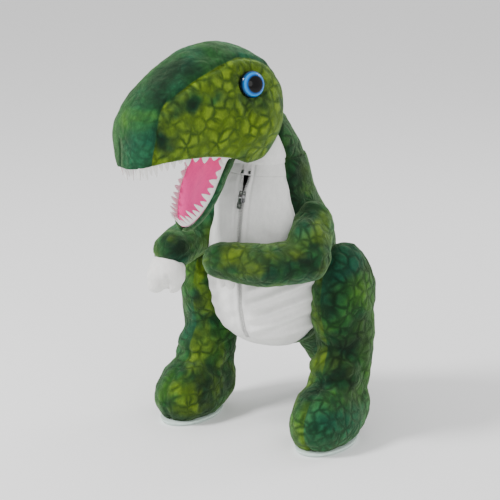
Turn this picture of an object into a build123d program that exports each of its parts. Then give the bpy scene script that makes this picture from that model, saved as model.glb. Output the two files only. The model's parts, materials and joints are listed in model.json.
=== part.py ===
from build123d import *
import math
import os

# A stuffed tyrannosaur with a zipped belly pouch, in millimetres.
# It stands on its soles, faces -Y, and its left side is +X.
# The origin is on the floor, under the middle of its outer box.

# ---------------------------------------------------------------- driving dimensions
shift_y = 21.25             # moves the trunk so that the origin is under the outer box's middle

skin = 3.0                  # plush fabric with its pile
gap = 0.3                   # between a skin and the stuffing inside it
play = 0.6                  # between bodies that move against each other

zip_radius = 300.0          # the belly's profile is an arc about an axis along X
zip_y = 216.0
zip_z = 237.0

neck_y = -31.0              # the neck's upright turning axis
neck_z = 352.0
head_yaw = -22.0            # the head looks towards its right
nod_y = -14.0               # in the head's own frame, where the neck's axis is the origin
nod_z = 396.0
nod_ball = 31.0
neck_room = -50.0           # behind this the head is cut off level with the nod axis

lip_z = 376.0               # upper lip and mouth corners
jaw_y = -71.0               # mouth corner's hinge, in the head's own frame
jaw_open = 64.0             # how far the jaw hangs open at rest
jaw_length = 107.0
jaw_depth = 20.0

eye_radius = 16.0
eye_place = (49.5, -53.0, 455.0)

shoulder = (74.0, -26.0, 280.0)
shoulder_ball = 24.0
elbow = (88, -60, 242)
elbow_ball = 21.5
arm_up = 20.0
arm_down = 10.0             # spare room behind the arm in its socket

hip_face = 58.0             # flat face between trunk and leg
hip = (58.0, 4.0, 172.0)
hip_reach = 84.0
foot_x = 100.0
sole = 3.0

tail_root = (0.0, 62.0, 150.0)
tail_swing = 15.0
tail_points = [tail_root, (0, 104, 98), (0, 138, 50), (0, 166, 16)]
tail_radii = [38, 30, 22, 16]

panel_inner = 7.0           # belly panels start this far from the zip's line
panel_outer = 36.0
belly_side = 56.0           # side seam of the white belly
belly_low = 112.0
belly_high = 345.0
zip_low = 138.0
zip_high = 336.0

pouch_half = 42.0
pouch_low = 142.0
pouch_high = 318.0
pouch_front = -47.0
pouch_back = 1.0

slider_z = 311.0
slider_width = 9.6
slider_height = 15.0
pull_width = 7.0
pull_length = 16.0

WHOLE = Pos(0, shift_y, 0)
HEAD = Pos(0, neck_y, 0) * Rot(0, 0, head_yaw)

os.makedirs("parts", exist_ok=True)


def save(name, shape, place=Location()):
    """Write one piece as a STEP file, moved to its place in the object."""
    export_step(WHOLE * place * shape, f"parts/{name}.step")


def block(x, y, z):
    """A box from its low and high limit along each axis."""
    size = (x[1] - x[0], y[1] - y[0], z[1] - z[0])
    middle = ((x[0] + x[1]) / 2, (y[0] + y[1]) / 2, (z[0] + z[1]) / 2)
    return Pos(*middle) * Box(*size)


def ball(centre, radius):
    return Pos(*centre) * Sphere(radius)


def egg(centre, radii):
    """An ellipsoid."""
    return Pos(*centre) * scale(Sphere(1), by=radii)


def limb(points, radii):
    """A rounded limb: a ball at each point and a cone between each two."""
    shape = ball(points[0], radii[0])
    for a, b, ra, rb in zip(points, points[1:], radii, radii[1:]):
        start = Vector(*a)
        along = Vector(*b) - start
        trim = 0.25
        cone = Cone(ra - trim, rb - trim, along.length, align=(Align.CENTER, Align.CENTER, Align.MIN))
        if abs(ra - rb) < 0.01:
            cone = Cylinder(ra - trim, along.length, align=(Align.CENTER, Align.CENTER, Align.MIN))
        shape = shape + Plane(origin=start, z_dir=along) * cone + ball(b, rb)
    return shape


def mirrored(shape):
    return mirror(shape, about=Plane.YZ)


# ---------------------------------------------------------------- trunk
# height, half width, front, back
trunk_rings = [
    (100, 26, -22, 34),
    (112, 47, -46, 56),
    (135, 66, -65, 74),
    (160, 77, -74, 82),
    (190, 83, -80.3, 84),
    (222, 83, -83.6, 81),
    (251, 79, -83.7, 73),
    (280, 69, -81, 62),
    (311, 58, -74.8, 36),
    (336, 50, -67, 23),
    (352, 45, -62, 15),
]


def trunk(inset):
    """The pear-shaped trunk, shrunk by inset all round."""
    rings = []
    for height, half, front, back in trunk_rings:
        middle = (front + back) / 2
        depth = (back - front) / 2
        level = min(max(height, trunk_rings[0][0] + inset), trunk_rings[-1][0] - inset)
        rings.append(Pos(0, middle, level) * Ellipse(half - inset, depth - inset))
    body = loft(rings)
    for side in (1, -1):
        x0 = hip_face - inset
        cut = Pos(side * (x0 + 60), hip[1], hip[2]) * Rot(0, 90, 0) * Cylinder(hip_reach + inset, 120)
        body -= cut
        body -= ball((side * shoulder[0], shoulder[1], shoulder[2]), shoulder_ball + play + inset)
        for turn in (-arm_up, 0, arm_down):
            place = Pos(0, shoulder[1], shoulder[2]) * Rot(turn, 0, 0) * Pos(0, -shoulder[1], -shoulder[2])
            upper = limb([shoulder, elbow], [r + play + inset for r in (shoulder_ball, elbow_ball)])
            body -= place * (upper if side == 1 else mirrored(upper))
    for turn in (-tail_swing, 0, tail_swing):
        about = Pos(tail_root[0], tail_root[1], 0) * Rot(0, 0, turn) * Pos(-tail_root[0], -tail_root[1], 0)
        body -= about * limb(tail_points[:3], [r + play + inset for r in tail_radii[:3]])
    return body


outside = trunk(0)
inside = trunk(skin)
shell = outside - inside

belly = block((-belly_side, belly_side), (-150, -30), (belly_low, belly_high))
save("torso_skin", shell - belly)

front_shell = shell & belly
save("belly_lower_panel", front_shell & block((-60, 60), (-150, 0), (belly_low, zip_low)))
save("chest_panel", front_shell & block((-60, 60), (-150, 0), (zip_high, belly_high)))

pouch_room = block((-pouch_half, pouch_half), (-150, pouch_back), (pouch_low, pouch_high))
flap_room = block((-90, 90), (-150, pouch_front - 1), (zip_low - 2, zip_high + 2))
slide_room = block((-panel_outer - 16, panel_outer + 16), (-150, pouch_front + 12), (zip_low - 2, zip_high + 2))
stuffing = trunk(skin + gap) - pouch_room - flap_room - slide_room
save("torso_stuffing", stuffing)

lining = block(
    (-pouch_half + gap, pouch_half - gap),
    (pouch_front, pouch_back - gap),
    (pouch_low + gap, pouch_high - gap),
)
lining -= block(
    (-pouch_half + gap + 1, pouch_half - gap - 1),
    (pouch_front - 10, pouch_back - gap - 1),
    (pouch_low + gap + 1, pouch_high - gap - 1),
)
save("pouch_lining", lining)

# ---------------------------------------------------------------- belly panels and zip
seam = 0.3
for name, side in (("left", 1), ("right", -1)):

    def strip(low, high, z0=zip_low + seam, z1=zip_high - seam):
        xs = sorted((side * low, side * high))
        return front_shell & block(xs, (-150, 0), (z0, z1))

    save(f"{name}_side_gusset", strip(panel_outer + seam, belly_side))
    save(f"{name}_belly_panel", strip(panel_inner, panel_outer))
    save(f"{name}_zip_tape", strip(3.6, panel_inner - 0.1))
    save(f"{name}_zip_coil", strip(1.3, 3.4))


def on_zip(angle):
    """A frame on the belly's arc: Y points into the body, Z up along the zip."""
    return Pos(0, zip_y, zip_z) * Rot(angle, 0, 0) * Pos(0, -zip_radius, 0)


slider_angle = -math.degrees(math.asin((slider_z - zip_z) / zip_radius))
low_angle = -math.degrees(math.asin((zip_low - 3 - zip_z) / zip_radius))
high_angle = -math.degrees(math.asin((zip_high + 4 - zip_z) / zip_radius))

# Two plates either side of the coils, joined by a bridge at the top between them.
plate = 1.2
front_gap = 1.1
back_gap = 4.6
front_plate = Pos(0, -front_gap - plate / 2, 0) * Box(slider_width, plate, slider_height)
front_plate = fillet(front_plate.edges().filter_by(Axis.Y), 2.2)
back_plate = Pos(0, back_gap + plate / 2, 0) * Box(slider_width - 1, plate, slider_height)
back_plate = fillet(back_plate.edges().filter_by(Axis.Y), 2.2)
bridge = block((-0.9, 0.9), (-front_gap - 0.5, back_gap + 0.5), (slider_height / 2 - 3, slider_height / 2 - 0.5))
bail_y = -front_gap - plate
pull_y = bail_y - 2.6
bail = Pos(0, pull_y, 0) * Rot(0, 90, 0) * Cylinder(1.0, 4.4)
for side in (-1, 1):
    bail += block(sorted((side * 2.2, side * 3.2)), (pull_y - 1.2, bail_y + 0.3), (-1.4, 1.4))
slider = front_plate + back_plate + bridge + bail
save("zip_slider_body", slider, on_zip(slider_angle))

pull_thick = 1.4
pull = Pos(0, pull_y, -pull_length / 2 + 2) * Box(3.6, pull_thick, pull_length)
pull += Pos(0, pull_y, 0) * Rot(0, 90, 0) * Cylinder(2.0, 3.6)
pull += Pos(0, pull_y, -pull_length + 5) * Box(pull_width, pull_thick, 8)
pull -= Pos(0, pull_y, 0) * Rot(0, 90, 0) * Cylinder(1.3, 8)
pull -= Pos(0, pull_y, -pull_length + 5) * Box(2.6, 4, 4)
save("zip_pull_tab", pull, on_zip(slider_angle))

save("zip_bottom_stop", Pos(0, -1.2, 0) * Box(7.5, 2, 3.5), on_zip(low_angle))
for name, side in (("left", 1), ("right", -1)):
    save(f"{name}_top_stop", Pos(side * 5, -1.4, 0) * Box(3, 2, 4), on_zip(high_angle))

# ---------------------------------------------------------------- neck
nod_centre = (HEAD * Pos(0, nod_y, nod_z)).position
neck_points = [(0, neck_y + 1, neck_z - 12), tuple(nod_centre)]


def neck(inset):
    body = limb(neck_points, [45 - inset, nod_ball - inset])
    low = neck_z + play + inset
    return body & block((-80, 80), (-120, 60), (low, 460))


neck_shell = neck(0) - neck(skin)
throat_y = -56.0
throat = block((-80, 80), (-120, throat_y), (neck_z, 374))
save("neck_skin", neck_shell - throat)
save("throat_panel", neck_shell & throat)
save("neck_stuffing", neck(skin + gap))

# ---------------------------------------------------------------- head, in its own frame, facing -Y
# y, half width, middle height, half height
head_rings = [
    (10, 22, 436, 24),
    (0, 36, 436, 37),
    (-25, 51, 438, 54),
    (-60, 56, 425, 74),
    (-100, 54, 420, 77),
    (-130, 48, 412, 66),
    (-160, 44, 405, 52),
    (-185, 37, 398, 37),
    (-199, 24, 394, 22),
]


def skull(inset):
    rings = []
    for y, half, height, tall in head_rings:
        level = min(max(y, head_rings[-1][0] + inset), head_rings[0][0] - inset)
        ring_plane = Plane(origin=(0, level, height), x_dir=(1, 0, 0), z_dir=(0, -1, 0))
        rings.append(ring_plane * Ellipse(half - inset, tall - inset))
    body = loft(rings)
    body -= block((-90, 90), (-260, 60), (200, lip_z + inset))
    body -= ball((0, nod_y, nod_z), nod_ball + play + inset)
    body -= block((-90, 90), (neck_room, 60), (200, nod_z - 2 + inset))
    return body


def eye_frame(side):
    """The eye's seat: Z points out of the head."""
    x, y, z = eye_place
    return Plane(origin=(side * x, y, z), x_dir=(0, -side, 0), z_dir=(side * 0.98, -0.06, 0.16))


head_shell = skull(0) - skull(skin)
head_stuffing = skull(skin + gap)
for side in (1, -1):
    seat = eye_frame(side)
    head_shell -= seat * Pos(0, 0, 10) * Cylinder(eye_radius + 0.4, 20)
    head_shell -= seat * Cylinder(2.6, 40)
    head_stuffing -= seat * Pos(0, 0, 10) * Cylinder(eye_radius + 0.4, 20)
    head_stuffing -= seat * Pos(0, 0, -6) * Cylinder(11.4, 16)

gusset_half = 34.0
gusset = block((-gusset_half, gusset_half), (-260, 60), (300, 560))
save("head_gusset", head_shell & gusset, HEAD)
for name, side in (("left", 1), ("right", -1)):
    cheek_room = block(sorted((side * gusset_half, side * 90)), (-260, 60), (300, 560))
    save(f"{name}_cheek", head_shell & cheek_room, HEAD)
save("head_stuffing", head_stuffing, HEAD)

for name, side in (("left", 1), ("right", -1)):
    seat = eye_frame(side)
    dome_high = 9.0
    dome_radius = (eye_radius**2 + dome_high**2) / (2 * dome_high)
    dome = Pos(0, 0, 3 + dome_high - dome_radius) * Sphere(dome_radius)
    dome &= Pos(0, 0, 3.2 + 10) * Cylinder(eye_radius, 20)
    save(f"{name}_eye_lens", seat * dome, HEAD)
    iris = Pos(0, 0, 1.7) * Cylinder(eye_radius, 2.6) + Pos(0, 0, -5) * Cylinder(2.2, 12)
    iris -= Pos(0, 0, 2.5) * Cylinder(8.6, 1.4)
    save(f"{name}_eye_iris", seat * iris, HEAD)
    save(f"{name}_eye_pupil", seat * Pos(0, 0, 2.45) * Cylinder(8.4, 1.0), HEAD)
    washer = Pos(0, 0, -7) * Cylinder(10.5, 1.6) - Pos(0, 0, -7) * Cylinder(2.3, 4)
    save(f"{name}_eye_washer", seat * washer, HEAD)


def horseshoe(half, back, front, z0, z1):
    """A tongue-shaped slab: straight sides from the back, then half an ellipse."""
    bend = back + 0.42 * (front - back)
    slab = block((-half, half), (-bend, -back), (z0, z1))
    nose = Pos(0, -bend, z0) * extrude(Ellipse(half, front - bend), z1 - z0)
    return slab + (nose & block((-half, half), (-front - 5, -bend), (z0, z1)))


palate_thick = 2.0
palate = horseshoe(35.4, 78, 188, lip_z - palate_thick, lip_z)
save("palate_lining", palate, HEAD)
upper_teeth = horseshoe(38, 92, 192, lip_z - 12, lip_z) - horseshoe(36, 80, 190, lip_z - 13, lip_z + 1)
save("upper_teeth", upper_teeth & block((-60, 60), (-260, -92), (300, 400)), HEAD)

# ---------------------------------------------------------------- lower jaw, made shut and then opened
JAW = HEAD * Pos(0, jaw_y, lip_z) * Rot(jaw_open, 0, 0) * Pos(0, -jaw_y, 0)
jaw_back = -jaw_y + 2
jaw_front = -jaw_y + jaw_length
rim = 3.0


jaw_outer = horseshoe(35, jaw_back, jaw_front, -jaw_depth, 0)
jaw_outer = fillet(jaw_outer.edges().group_by(Axis.Z)[0], 9)
jaw_room = horseshoe(35 - rim, jaw_back + rim, jaw_front - rim, -jaw_depth + rim, 5)
save("jaw_skin", jaw_outer - jaw_room, JAW)
lining_thick = 2.0
lining_slab = horseshoe(35 - rim - 0.2, jaw_back + rim + 0.2, jaw_front - rim - 0.2, -lining_thick, 0)
save("jaw_lining", lining_slab, JAW)
stuff = horseshoe(35 - rim - gap, jaw_back + rim + gap, jaw_front - rim - gap, -jaw_depth + rim + gap, -2.2)
save("jaw_stuffing", stuff, JAW)
lower_teeth = horseshoe(32.6, jaw_back + 45, jaw_front - 3.4, 0, 12)
lower_teeth -= horseshoe(30.8, jaw_back + 20, jaw_front - 5.2, -1, 13)
save("lower_teeth", lower_teeth & block((-60, 60), (-260, -jaw_back - 45), (-1, 20)), JAW)

# ---------------------------------------------------------------- arms
left_arm_points = [shoulder, elbow, (53, -101, 237), (-6, -114, 238)]
left_arm_radii = [shoulder_ball, elbow_ball, 21, 19]
right_arm_points = [
    (-shoulder[0], shoulder[1], shoulder[2]),
    (-elbow[0], elbow[1] + 5, elbow[2]),
    (-80, -104, 244),
]
right_arm_radii = [shoulder_ball, 22, 18]


def arm(points, radii, inset):
    return limb(points, [r - inset for r in radii])


wrist_z = 229.0
wrist_cut = block((-60, 14), (-150, -60), (150, wrist_z))
left_hand_egg = egg((-4, -110, 216), (15, 13, 18)) & block((-60, 60), (-150, -60), (150, wrist_z - gap))
left_shell = arm(left_arm_points, left_arm_radii, 0) - arm(left_arm_points, left_arm_radii, skin)
save("left_arm_skin", left_shell - wrist_cut)
save("left_arm_stuffing", arm(left_arm_points, left_arm_radii, skin + gap) - wrist_cut)
save("left_hand", left_hand_egg)

right_hand_egg = egg((-77, -123, 218), (20, 17, 26))
right_hand_clear = egg((-77, -123, 218), (20 + gap, 17 + gap, 26 + gap))
right_shell = arm(right_arm_points, right_arm_radii, 0) - arm(right_arm_points, right_arm_radii, skin)
save("right_arm_skin", right_shell - right_hand_clear)
save("right_arm_stuffing", arm(right_arm_points, right_arm_radii, skin + gap) - right_hand_clear)
save("right_hand", right_hand_egg)

# ---------------------------------------------------------------- legs
def leg(inset):
    """Thigh, ankle and foot of the left leg, cut flat at the hip and at the floor."""
    thigh = egg((94, 4, 172), (44 - inset, 52 - inset, 78 - inset))
    shin = limb([(98, 6, 130), (99, 0, 60)], [40 - inset, 36 - inset])
    foot = egg((foot_x, -36, 34), (43 - inset, 70 - inset, 54 - inset))
    whole = thigh + shin + foot
    return whole & block((hip_face + play + inset, 200), (-150, 120), (sole + inset, 300))


foot_bag = egg((foot_x, -40, 26), (26, 40, 14))
leg_shell = leg(0) - leg(skin)
leg_core = leg(skin + gap) - egg((foot_x, -40, 26), (26 + gap, 40 + gap, 14 + gap))
sole_pad = egg((foot_x, -36, 34), (43, 70, 54)) & block((hip_face + play, 200), (-150, 120), (0, sole))
for name, shape in (
    ("leg_skin", leg_shell),
    ("leg_stuffing", leg_core),
    ("foot_pellets", foot_bag),
    ("foot_sole", sole_pad),
):
    save(f"left_{name}", shape)
    save(f"right_{name}", mirrored(shape))

# ---------------------------------------------------------------- tail
tail_shell = limb(tail_points, tail_radii) - limb(tail_points, [r - skin for r in tail_radii])
save("tail_skin", tail_shell)
save("tail_stuffing", limb(tail_points, [r - skin - gap for r in tail_radii]))
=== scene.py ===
# %% [markdown]
# A stuffed tyrannosaur, about half a metre tall, sewn from short-pile plush.
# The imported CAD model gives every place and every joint. Here each skin is made
# again as soft, sewn fabric, and every finish is built from shader nodes.

# %% The frame
import bpy
import bmesh
import json
import math
from mathutils import Matrix, Vector, noise


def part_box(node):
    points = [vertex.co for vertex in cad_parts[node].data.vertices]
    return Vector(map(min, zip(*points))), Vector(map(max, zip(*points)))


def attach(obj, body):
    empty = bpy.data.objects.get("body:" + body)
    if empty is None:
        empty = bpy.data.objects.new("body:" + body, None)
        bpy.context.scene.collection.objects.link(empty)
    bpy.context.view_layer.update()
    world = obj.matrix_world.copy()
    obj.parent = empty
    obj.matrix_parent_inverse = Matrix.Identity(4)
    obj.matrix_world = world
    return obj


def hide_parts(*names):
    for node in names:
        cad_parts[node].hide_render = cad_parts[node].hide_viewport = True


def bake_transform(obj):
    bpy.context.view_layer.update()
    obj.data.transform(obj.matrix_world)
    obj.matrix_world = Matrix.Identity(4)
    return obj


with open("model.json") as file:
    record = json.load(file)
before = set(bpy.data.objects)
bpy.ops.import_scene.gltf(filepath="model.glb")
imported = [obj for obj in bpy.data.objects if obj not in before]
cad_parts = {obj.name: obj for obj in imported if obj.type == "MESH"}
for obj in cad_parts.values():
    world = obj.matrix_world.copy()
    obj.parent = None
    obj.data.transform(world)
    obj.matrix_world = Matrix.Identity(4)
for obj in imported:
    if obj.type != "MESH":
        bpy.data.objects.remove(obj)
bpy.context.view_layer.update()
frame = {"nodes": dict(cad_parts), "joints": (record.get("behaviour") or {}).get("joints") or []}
MM = 0.001
joints = {joint["name"]: joint for joint in frame["joints"]}

# %% [markdown]
# The trunk is drawn in its own millimetres, with the upright neck axis as a known
# place. The head has its own frame as well: it looks along -Y there, and the nod
# joint's axis says how far it is turned.

# %% Frames of trunk, head and jaw
neck_axis = Vector(joints["neck_turn"]["pos_m"])
trunk_origin = Vector((neck_axis.x, neck_axis.y + 31 * MM, 0))
nod_axis = Vector(joints["head_nod"]["axis"])
head_right = -nod_axis.normalized()
head_back = Vector((0, 0, 1)).cross(head_right)
lip_z = joints["jaw_open"]["pos_m"][2] / MM
jaw_rest = math.radians(64)
jaw_y = -71


def trunk_point(x, y, z):
    return trunk_origin + Vector((x, y, z)) * MM


def head_point(x, y, z):
    flat = head_right * (x * MM) + head_back * (y * MM)
    return Vector((neck_axis.x, neck_axis.y, 0)) + flat + Vector((0, 0, z * MM))


def jaw_point(x, y, z):
    """A point of the shut jaw, z counted from the lip, turned down to its rest."""
    ahead = y - jaw_y
    turned = ahead * math.cos(jaw_rest) - z * math.sin(jaw_rest)
    raised = ahead * math.sin(jaw_rest) + z * math.cos(jaw_rest)
    return head_point(x, jaw_y + turned, lip_z + raised)


print("head looks along", [round(-c, 3) for c in head_back])

# %% [markdown]
# Small helpers make every sewn piece: one turns a mesh into an object, one shapes a
# grid of fabric with a rule, one gives a sheet its thickness, and one joins plump
# forms into one skin, as stuffing does behind cloth.


# %% Mesh helpers
def finish_piece(name, bm, body, nodes=(), smooth=True):
    mesh = bpy.data.meshes.new(name)
    bm.to_mesh(mesh)
    bm.free()
    piece = bpy.data.objects.new(name, mesh)
    bpy.context.scene.collection.objects.link(piece)
    mesh.polygons.foreach_set("use_smooth", [smooth] * len(mesh.polygons))
    dress(piece, body, nodes)
    return piece


def dress(piece, body, nodes=()):
    if nodes:
        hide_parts(*nodes)
    if body:
        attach(piece, body)


def apply_modifiers(piece):
    graph = bpy.context.evaluated_depsgraph_get()
    mesh = bpy.data.meshes.new_from_object(piece.evaluated_get(graph))
    piece.modifiers.clear()
    old = piece.data
    piece.data = mesh
    bpy.data.meshes.remove(old)
    mesh.polygons.foreach_set("use_smooth", [True] * len(mesh.polygons))


def thicken(piece, thickness, offset):
    """Gives a sheet its thickness in millimetres, inward, outward or half each way."""
    wall = piece.modifiers.new("Wall", "SOLIDIFY")
    wall.thickness = thickness * MM
    wall.offset = offset
    apply_modifiers(piece)


def grid_of(across, along, place):
    """A sheet of across by along quads. place(u, v) gives each corner's spot."""
    bm = bmesh.new()
    bmesh.ops.create_grid(bm, x_segments=across, y_segments=along, size=0.5)
    for vert in bm.verts:
        vert.co = place(vert.co.x + 0.5, vert.co.y + 0.5)
    return bm


def add_ball(bm, centre, radii):
    made = bmesh.ops.create_uvsphere(bm, u_segments=24, v_segments=12, radius=1)
    size = Matrix.Diagonal((*[r * MM for r in radii], 1))
    bmesh.ops.transform(bm, matrix=Matrix.Translation(centre) @ size, verts=made["verts"])


def add_taper(bm, start, end, r0, r1):
    """A round taper between two points, with a ball at its far end."""
    along = end - start
    made = bmesh.ops.create_cone(
        bm, cap_ends=True, segments=24, radius1=r0 * MM, radius2=r1 * MM, depth=along.length
    )
    turn = along.to_track_quat("Z", "Y").to_matrix().to_4x4()
    place = Matrix.Translation((start + end) / 2) @ turn
    bmesh.ops.transform(bm, matrix=place, verts=made["verts"])
    add_ball(bm, end, (r1, r1, r1))


def stuffed(name, bm, body, nodes, voxel=3.2, softness=12, move=None):
    """One skin round several plump forms, smoothed, then moved by a rule of its own."""
    piece = finish_piece(name, bm, None)
    remesh = piece.modifiers.new("Remesh", "REMESH")
    remesh.mode = "VOXEL"
    remesh.voxel_size = voxel * MM
    smooth = piece.modifiers.new("Smooth", "SMOOTH")
    smooth.factor = 0.5
    smooth.iterations = softness
    apply_modifiers(piece)
    if move:
        mesh = piece.data
        shifts = [move(v.co) for v in mesh.vertices]
        for vert, shift in zip(mesh.vertices, shifts):
            vert.co += vert.normal * (shift * MM)
    dress(piece, body, nodes)
    return piece


def rumple(co, size, depth, seed=0.0):
    """Soft unevenness of stuffing, in millimetres."""
    spot = co / (size * MM) + Vector((seed, seed * 0.7, seed * 1.3))
    return depth * noise.fractal(spot, 0.8, 2.0, 3)


def groove(distance, width, depth):
    """How far a seam pulls the cloth in, at a distance from its line."""
    return -depth * math.exp(-((distance / width) ** 2))


def smoothstep(low, high, value):
    t = min(max((value - low) / (high - low), 0.0), 1.0)
    return t * t * (3 - 2 * t)


def table_value(rows, key, column):
    """Smoothly interpolates a column of rows that are sorted by their first entry."""
    if key <= rows[0][0]:
        return rows[0][column]
    if key >= rows[-1][0]:
        return rows[-1][column]
    last = len(rows) - 1
    i = max(k for k in range(last) if rows[k][0] <= key)
    x0, x1 = rows[i][0], rows[i + 1][0]
    y0, y1 = rows[i][column], rows[i + 1][column]

    def slope(k):
        a, b = rows[max(k - 1, 0)], rows[min(k + 1, last)]
        return (b[column] - a[column]) / (b[0] - a[0])

    t = (key - x0) / (x1 - x0)
    width = x1 - x0
    h00 = 2 * t**3 - 3 * t**2 + 1
    h10 = t**3 - 2 * t**2 + t
    h01 = -2 * t**3 + 3 * t**2
    h11 = t**3 - t**2
    return h00 * y0 + h10 * width * slope(i) + h01 * y1 + h11 * width * slope(i + 1)


# %% [markdown]
# The green plush is printed: dark cracks run between scales, over patches of
# forest green, teal and lime. One group makes the print. A second group makes the
# nap, the fine fuzz that catches light, and every fabric shares it.


# %% Node helpers
def new_group(name, inputs, outputs):
    group = bpy.data.node_groups.new(name, "ShaderNodeTree")
    for label, kind, value in inputs:
        socket = group.interface.new_socket(label, in_out="INPUT", socket_type=kind)
        socket.default_value = value
    for label, kind in outputs:
        group.interface.new_socket(label, in_out="OUTPUT", socket_type=kind)
    start = group.nodes.new("NodeGroupInput")
    end = group.nodes.new("NodeGroupOutput")
    return group, start, end


def node(tree, kind, **values):
    made = tree.nodes.new(kind)
    for key, value in values.items():
        if hasattr(made, key):
            setattr(made, key, value)
        else:
            made.inputs[key.replace("_", " ").title()].default_value = value
    return made


def ramp(tree, stops):
    made = tree.nodes.new("ShaderNodeValToRGB")
    elements = made.color_ramp.elements
    while len(elements) < len(stops):
        elements.new(0.5)
    for element, (place, colour) in zip(elements, stops):
        element.position = place
        element.color = (*colour, 1)
    return made


def feed(tree, socket, value):
    """Links a socket into another, or sets a plain value on it."""
    if isinstance(value, bpy.types.NodeSocket):
        tree.links.new(value, socket)
    else:
        socket.default_value = value


# The colour sockets of a mix node go by number, since its names repeat.
MIX_FACTOR, MIX_FIRST, MIX_SECOND, MIX_RESULT = 0, 6, 7, 2


def mix_colour(tree, factor, first, second, blend="MIX"):
    made = tree.nodes.new("ShaderNodeMix")
    made.data_type = "RGBA"
    made.blend_type = blend
    for number, value in ((MIX_FACTOR, factor), (MIX_FIRST, first), (MIX_SECOND, second)):
        feed(tree, made.inputs[number], value)
    return made.outputs[MIX_RESULT]


def remap(tree, value, low, high, to_low=0.0, to_high=1.0, kind="LINEAR"):
    made = tree.nodes.new("ShaderNodeMapRange")
    made.interpolation_type = kind
    ends = (("From Min", low), ("From Max", high), ("To Min", to_low), ("To Max", to_high))
    for label, number in ends:
        made.inputs[label].default_value = number
    tree.links.new(value, made.inputs["Value"])
    return made.outputs["Result"]


def maths(tree, operation, a, b, clamp=False):
    made = tree.nodes.new("ShaderNodeMath")
    made.operation = operation
    made.use_clamp = clamp
    for socket, value in zip(made.inputs, (a, b)):
        feed(tree, socket, value)
    return made.outputs[0]


# %% The print and the nap
def make_print():
    tree, start, end = new_group(
        "scale_print",
        [("Scale", "NodeSocketFloat", 75.0), ("Lime", "NodeSocketFloat", 0.0),
         ("Teal", "NodeSocketFloat", 0.0), ("Crack", "NodeSocketFloat", 0.8),
         ("Cover", "NodeSocketFloat", 0.0)],
        [("Color", "NodeSocketColor"), ("Height", "NodeSocketFloat")],
    )
    link = tree.links.new
    place = node(tree, "ShaderNodeTexCoord")
    warp = node(tree, "ShaderNodeTexNoise", scale=38.0, detail=3.0)
    link(place.outputs["Object"], warp.inputs["Vector"])
    shift = node(tree, "ShaderNodeVectorMath", operation="MULTIPLY_ADD")
    shift.inputs[1].default_value = (0.016, 0.016, 0.016)
    link(warp.outputs["Color"], shift.inputs[0])
    link(place.outputs["Object"], shift.inputs[2])
    cells = node(tree, "ShaderNodeTexVoronoi", feature="DISTANCE_TO_EDGE", randomness=0.9)
    link(shift.outputs["Vector"], cells.inputs["Vector"])
    link(start.outputs["Scale"], cells.inputs["Scale"])
    lines = remap(tree, cells.outputs["Distance"], 0.0, 0.30, kind="SMOOTHSTEP")
    patches = node(tree, "ShaderNodeTexNoise", scale=15.0, detail=2.5, distortion=0.8)
    link(place.outputs["Object"], patches.inputs["Vector"])
    base = ramp(tree, [
        (0.34, (0.003, 0.020, 0.010)), (0.45, (0.006, 0.044, 0.015)),
        (0.57, (0.014, 0.082, 0.018)), (0.70, (0.042, 0.135, 0.013)),
    ])
    link(patches.outputs["Fac"], base.inputs["Fac"])

    lime_spots = node(tree, "ShaderNodeTexNoise", scale=24.0, detail=2.0)
    link(shift.outputs["Vector"], lime_spots.inputs["Vector"])
    spread = maths(tree, "ADD", lime_spots.outputs["Fac"], start.outputs["Cover"])
    lime_mask = remap(tree, spread, 0.42, 0.66, kind="SMOOTHSTEP")
    lime_amount = maths(tree, "MULTIPLY", lime_mask, start.outputs["Lime"], True)
    limed = mix_colour(tree, lime_amount, base.outputs["Color"], (0.125, 0.205, 0.007, 1))

    teal_spots = node(tree, "ShaderNodeTexNoise", scale=11.0, detail=2.0)
    link(place.outputs["Object"], teal_spots.inputs["Vector"])
    teal_mask = remap(tree, teal_spots.outputs["Fac"], 0.46, 0.62, kind="SMOOTHSTEP")
    teal_amount = maths(tree, "MULTIPLY", teal_mask, start.outputs["Teal"], True)
    tealed = mix_colour(tree, teal_amount, limed, (0.006, 0.085, 0.052, 1))

    smudge = node(tree, "ShaderNodeTexNoise", scale=48.0, detail=4.0, roughness=0.65)
    link(place.outputs["Object"], smudge.inputs["Vector"])
    fade = remap(tree, smudge.outputs["Fac"], 0.35, 0.60, 0.35, kind="SMOOTHSTEP")
    crack = maths(tree, "SUBTRACT", 1.0, lines)
    faded = maths(tree, "MULTIPLY", crack, fade)
    crack_amount = maths(tree, "MULTIPLY", faded, start.outputs["Crack"], True)
    cracked = mix_colour(tree, crack_amount, tealed, (0.16, 0.24, 0.22, 1), "MULTIPLY")

    mottle = ramp(tree, [(0.36, (0.55, 0.60, 0.60)), (0.62, (1.25, 1.2, 1.1))])
    link(smudge.outputs["Fac"], mottle.inputs["Fac"])
    mottled = mix_colour(tree, 0.85, cracked, mottle.outputs["Color"], "MULTIPLY")
    link(mottled, end.inputs["Color"])
    link(lines, end.inputs["Height"])
    return tree


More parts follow.
